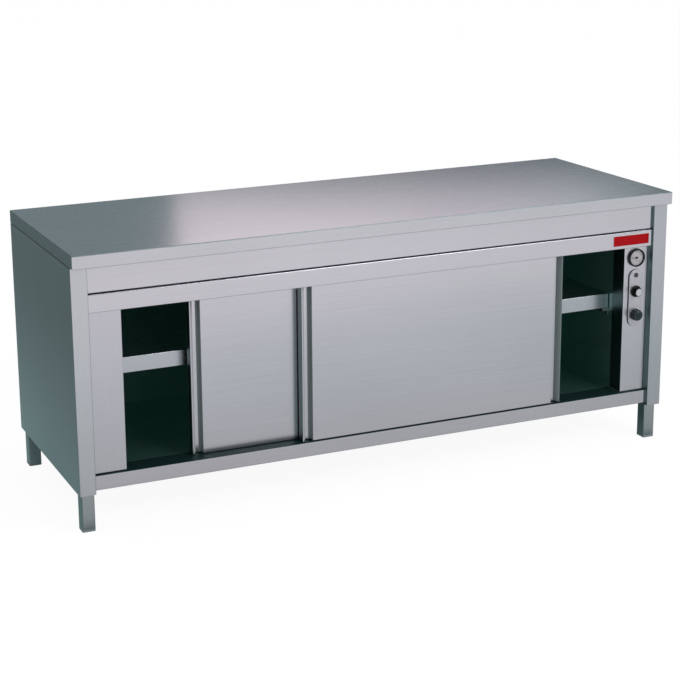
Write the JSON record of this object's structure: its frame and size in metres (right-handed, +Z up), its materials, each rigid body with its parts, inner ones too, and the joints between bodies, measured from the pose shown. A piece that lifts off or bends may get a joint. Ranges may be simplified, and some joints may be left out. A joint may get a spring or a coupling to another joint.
{
  "type": "heated plate cabinet",
  "caption": "Long stainless heated cabinet for plates: flat worktop, insulated sliding doors, inner shelf, fan heater behind a control panel, square adjustable legs.",
  "frame": {"origin": "on the floor under the middle of the worktop", "axes": "+X along the length to the control panel's end, +Y from the doors to the back, +Z up"},
  "size_m": [2, 0.7, 0.84],
  "materials": {
    "worktop_steel": "satin",
    "panel_steel": "satin",
    "side_steel": "satin",
    "leg_steel": "satin",
    "liner_steel": "satin",
    "galvanised_steel": "matte",
    "zinc_steel": "satin",
    "track_aluminium": "satin",
    "particle_board": "matte",
    "mineral_wool": "matte",
    "door_foam": "matte",
    "roller_nylon": "satin",
    "foot_plastic": "matte",
    "black_plastic": "satin",
    "plate_plastic": "satin",
    "badge_red": "satin",
    "dial_white": "matte",
    "needle_black": "matte",
    "dial_glass": "gloss",
    "lamp_lens": "gloss",
    "device_plastic": "matte",
    "device_ceramic": "matte",
    "element_steel": "matte"
  },
  "bodies": {
    "cabinet": {"worktop": "worktop_steel", "worktop_board": "particle_board", "leg_front_left": "leg_steel", "leg_front_right": "leg_steel", "leg_rear_left": "leg_steel", "leg_rear_right": "leg_steel", "leg_plugs": "device_plastic", "side_panel_left": "side_steel", "side_panel_right": "side_steel", "back_panel": "side_steel", "base_panel": "galvanised_steel", "base_screws": "zinc_steel", "cavity_wall_left": "liner_steel", "cavity_wall_right": "liner_steel", "cavity_back": "liner_steel", "cavity_floor": "liner_steel", "cavity_ceiling": "liner_steel", "insulation": "mineral_wool", "apron": "panel_steel", "fascia": "panel_steel", "nameplate": "badge_red", "door_track": "track_aluminium", "bottom_rail": "panel_steel", "door_guide": "roller_nylon", "filler_panel": "panel_steel", "control_panel": "panel_steel", "shelf": "side_steel", "shelf_brackets": "zinc_steel", "thermometer_case": "black_plastic", "thermometer_dial": "dial_white", "thermometer_glass": "dial_glass", "control_plate": "plate_plastic", "pilot_lamp": "lamp_lens", "thermostat_body": "device_ceramic", "switch_body": "device_plastic", "fan_frame": "device_plastic", "heating_element": "element_steel", "terminal_block": "device_ceramic", "cable_gland": "black_plastic"},
    "door_left": {"door_left_skin": "panel_steel", "door_left_liner": "liner_steel", "door_left_core": "door_foam", "door_left_hangers": "zinc_steel"},
    "door_left_roller_outer": {"door_left_roller_outer": "roller_nylon"},
    "door_left_roller_inner": {"door_left_roller_inner": "roller_nylon"},
    "door_right": {"door_right_skin": "panel_steel", "door_right_liner": "liner_steel", "door_right_core": "door_foam", "door_right_hangers": "zinc_steel"},
    "door_right_roller_inner": {"door_right_roller_inner": "roller_nylon"},
    "door_right_roller_outer": {"door_right_roller_outer": "roller_nylon"},
    "foot_front_left": {"foot_front_left": "foot_plastic"},
    "foot_front_right": {"foot_front_right": "foot_plastic"},
    "foot_rear_left": {"foot_rear_left": "foot_plastic"},
    "foot_rear_right": {"foot_rear_right": "foot_plastic"},
    "thermometer_needle": {"thermometer_needle": "needle_black"},
    "thermostat_knob": {"thermostat_knob": "black_plastic"},
    "switch_knob": {"switch_knob": "black_plastic"},
    "fan_impeller": {"fan_impeller": "device_plastic"}
  },
  "joints": [
    {"name": "door_left_slide", "type": "slide", "parent": "cabinet", "child": "door_left", "axis": [1, 0, 0], "range_m": [-0.217, 0.578]},
    {"name": "door_right_slide", "type": "slide", "parent": "cabinet", "child": "door_right", "axis": [1, 0, 0], "range_m": [-0.562, 0.233]},
    {"name": "door_left_roller_outer_spin", "type": "hinge", "parent": "door_left", "child": "door_left_roller_outer", "pos_m": [-0.518, -0.252, 0.6963], "axis": [0, 1, 0], "continuous": true},
    {"name": "door_left_roller_inner_spin", "type": "hinge", "parent": "door_left", "child": "door_left_roller_inner", "pos_m": [0.173, -0.252, 0.6963], "axis": [0, 1, 0], "continuous": true},
    {"name": "door_right_roller_inner_spin", "type": "hinge", "parent": "door_right", "child": "door_right_roller_inner", "pos_m": [-0.173, -0.287, 0.6963], "axis": [0, 1, 0], "continuous": true},
    {"name": "door_right_roller_outer_spin", "type": "hinge", "parent": "door_right", "child": "door_right_roller_outer", "pos_m": [0.518, -0.287, 0.6963], "axis": [0, 1, 0], "continuous": true},
    {"name": "foot_front_left_screw", "type": "slide", "parent": "cabinet", "child": "foot_front_left", "axis": [0, 0, -1], "range_m": [0, 0.04]},
    {"name": "foot_front_right_screw", "type": "slide", "parent": "cabinet", "child": "foot_front_right", "axis": [0, 0, -1], "range_m": [0, 0.04]},
    {"name": "foot_rear_left_screw", "type": "slide", "parent": "cabinet", "child": "foot_rear_left", "axis": [0, 0, -1], "range_m": [0, 0.04]},
    {"name": "foot_rear_right_screw", "type": "slide", "parent": "cabinet", "child": "foot_rear_right", "axis": [0, 0, -1], "range_m": [0, 0.04]},
    {"name": "thermometer_needle_turn", "type": "hinge", "parent": "cabinet", "child": "thermometer_needle", "pos_m": [0.90585, -0.3, 0.622], "axis": [0, 1, 0], "range_deg": [-45, 225]},
    {"name": "thermostat_turn", "type": "hinge", "parent": "cabinet", "child": "thermostat_knob", "pos_m": [0.90585, -0.3025, 0.51], "axis": [0, 1, 0], "range_deg": [0, 270]},
    {"name": "switch_turn", "type": "hinge", "parent": "cabinet", "child": "switch_knob", "pos_m": [0.90585, -0.3025, 0.432], "axis": [0, 1, 0], "range_deg": [0, 90]},
    {"name": "fan_spin", "type": "hinge", "parent": "cabinet", "child": "fan_impeller", "pos_m": [0.873, 0.15, 0.5994], "axis": [1, 0, 0], "continuous": true}
  ],
  "couplings": [
    {"joint": "door_left_roller_outer_spin", "follows": "door_left_slide", "rad_per_m": 90.909},
    {"joint": "door_left_roller_inner_spin", "follows": "door_left_slide", "rad_per_m": 90.909},
    {"joint": "door_right_roller_inner_spin", "follows": "door_right_slide", "rad_per_m": 90.909},
    {"joint": "door_right_roller_outer_spin", "follows": "door_right_slide", "rad_per_m": 90.909}
  ]
}
